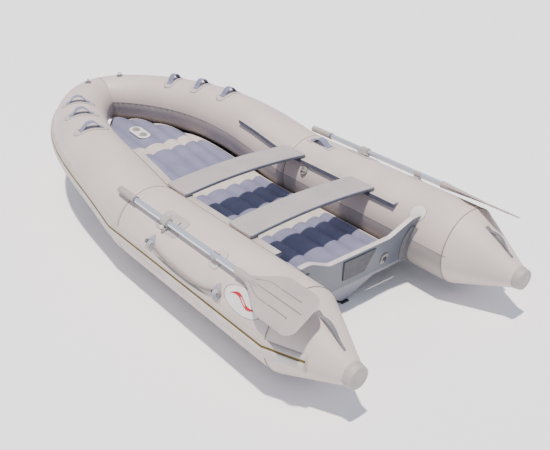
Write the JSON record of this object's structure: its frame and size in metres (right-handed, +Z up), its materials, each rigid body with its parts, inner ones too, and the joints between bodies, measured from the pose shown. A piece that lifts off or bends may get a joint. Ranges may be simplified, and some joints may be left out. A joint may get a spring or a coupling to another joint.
{
  "type": "inflatable dinghy",
  "caption": "Inflatable dinghy with ribbed air deck, raked transom with motor well, arched plank seats sliding on rails, and stowed oars on swivel rowlocks.",
  "frame": {"origin": "centre of the bounding box at the underside of the keel guard", "axes": "+X towards the bow, +Y to port, +Z up"},
  "size_m": [3.5883, 1.695, 0.6552],
  "materials": {
    "tube_fabric": "coated fabric, satin",
    "inner_fabric": "coated fabric, satin",
    "deck_fabric": "coated fabric with ribbed non-slip panels",
    "bottom_fabric": "coated fabric, satin",
    "patch_fabric": "coated fabric, satin",
    "webbing": "woven webbing",
    "rope": "braided rope",
    "strake_rubber": "matt rubber",
    "keel_rubber": "matt rubber",
    "fitting_rubber": "matt moulded rubber",
    "transom_paint": "painted plywood",
    "motor_pad": "matt moulded plastic",
    "seat_paint": "painted plywood",
    "rail_plastic": "matt extruded plastic",
    "oar_aluminium": "anodised",
    "oar_plastic": "matt moulded plastic",
    "moulded_grey": "matt moulded plastic",
    "valve_plastic": "matt moulded plastic",
    "steel": "brushed stainless"
  },
  "bodies": {
    "hull": {"port_side_tube": "tube_fabric", "starboard_side_tube": "tube_fabric", "port_bow_tube": "tube_fabric", "starboard_bow_tube": "tube_fabric", "port_stern_cone": "tube_fabric", "starboard_stern_cone": "tube_fabric", "chamber_membranes": "inner_fabric", "keel_tube": "inner_fabric", "air_deck": "deck_fabric", "hull_bottom": "bottom_fabric", "transom_patches": "patch_fabric", "clip_patches": "patch_fabric", "bow_handle_patches": "patch_fabric", "name_patches": "patch_fabric", "bow_handles": "webbing", "starboard_carry_handle": "webbing", "port_grab_rope": "rope", "starboard_grab_rope": "rope", "rub_rail": "strake_rubber", "keel_guard": "keel_rubber", "transom_holders": "fitting_rubber", "rope_holders": "fitting_rubber", "stern_handles": "fitting_rubber", "stern_end_caps": "fitting_rubber", "transom": "transom_paint", "outboard_motor_pad": "motor_pad", "inboard_motor_plate": "motor_pad", "port_seat_rail": "rail_plastic", "starboard_seat_rail": "rail_plastic", "port_rowlock_base": "moulded_grey", "starboard_rowlock_base": "moulded_grey", "port_oar_clip": "moulded_grey", "starboard_oar_clip": "moulded_grey", "port_valve_body": "valve_plastic", "starboard_valve_body": "valve_plastic", "deck_valve_plate": "valve_plastic", "drain_socket": "valve_plastic", "rowlock_pins": "steel", "bow_eyes": "steel"},
    "fore_seat": {"fore_seat": "seat_paint", "fore_seat_runners": "rail_plastic"},
    "aft_seat": {"aft_seat": "seat_paint", "aft_seat_runners": "rail_plastic"},
    "port_oar": {"port_oar_grip": "oar_plastic", "port_oar_shaft": "oar_aluminium", "port_oar_blade": "oar_plastic", "port_oar_collar": "oar_plastic"},
    "port_nut": {"port_rowlock_nut": "moulded_grey"},
    "port_cap": {"port_valve_cap": "valve_plastic"},
    "port_stem": {"port_valve_stem": "valve_plastic"},
    "starboard_oar": {"starboard_oar_grip": "oar_plastic", "starboard_oar_shaft": "oar_aluminium", "starboard_oar_blade": "oar_plastic", "starboard_oar_collar": "oar_plastic"},
    "starboard_nut": {"starboard_rowlock_nut": "moulded_grey"},
    "starboard_cap": {"starboard_valve_cap": "valve_plastic"},
    "starboard_stem": {"starboard_valve_stem": "valve_plastic"},
    "fore_deck_cap": {"deck_valve_cap_fore": "valve_plastic"},
    "aft_deck_cap": {"deck_valve_cap_aft": "valve_plastic"},
    "drain_plug": {"drain_plug": "valve_plastic"}
  },
  "joints": [
    {"name": "fore_seat_slide", "type": "slide", "parent": "hull", "child": "fore_seat", "axis": [1, 0, 0], "range_m": [-0.3, 0]},
    {"name": "aft_seat_slide", "type": "slide", "parent": "hull", "child": "aft_seat", "axis": [1, 0, 0], "range_m": [-0.16, 0.1]},
    {"name": "port_oar_swing", "type": "hinge", "parent": "hull", "child": "port_oar", "pos_m": [-0.4902, 0.7565, 0.47179], "axis": [0, 0.506, 0.8625], "range_deg": [-135, 0], "deforming": ["port_oar_clip"]},
    {"name": "port_nut_turn", "type": "hinge", "parent": "hull", "child": "port_nut", "pos_m": [-0.4902, 0.7565, 0.47179], "axis": [0, 0.506, 0.8625], "continuous": true},
    {"name": "port_cap_turn", "type": "hinge", "parent": "hull", "child": "port_cap", "pos_m": [-0.2862, 0.39907, 0.38742], "axis": [0, -0.891, 0.454], "range_deg": [0, 90]},
    {"name": "port_stem_push", "type": "slide", "parent": "hull", "child": "port_stem", "axis": [0, 0.891, -0.454], "range_m": [0, 0.0045], "stiffness_N_per_m": 300},
    {"name": "starboard_oar_swing", "type": "hinge", "parent": "hull", "child": "starboard_oar", "pos_m": [-0.4902, -0.7565, 0.47179], "axis": [0, -0.506, 0.8625], "range_deg": [0, 135], "deforming": ["starboard_oar_clip"]},
    {"name": "starboard_nut_turn", "type": "hinge", "parent": "hull", "child": "starboard_nut", "pos_m": [-0.4902, -0.7565, 0.47179], "axis": [0, -0.506, 0.8625], "continuous": true},
    {"name": "starboard_cap_turn", "type": "hinge", "parent": "hull", "child": "starboard_cap", "pos_m": [-0.2862, -0.39907, 0.38742], "axis": [0, 0.891, 0.454], "range_deg": [0, 90]},
    {"name": "starboard_stem_push", "type": "slide", "parent": "hull", "child": "starboard_stem", "axis": [0, -0.891, -0.454], "range_m": [0, 0.0045], "stiffness_N_per_m": 300},
    {"name": "fore_deck_cap_turn", "type": "hinge", "parent": "hull", "child": "fore_deck_cap", "pos_m": [1.11762, 0, 0.32139], "axis": [-0.0854, 0, 0.9963], "range_deg": [0, 90]},
    {"name": "aft_deck_cap_turn", "type": "hinge", "parent": "hull", "child": "aft_deck_cap", "pos_m": [1.01998, 0, 0.31302], "axis": [-0.0854, 0, 0.9963], "range_deg": [0, 90]},
    {"name": "drain_plug_turn", "type": "hinge", "parent": "hull", "child": "drain_plug", "pos_m": [-1.15316, -0.225, 0.2253], "axis": [-0.9617, 0, -0.274], "range_deg": [0, 90]}
  ]
}
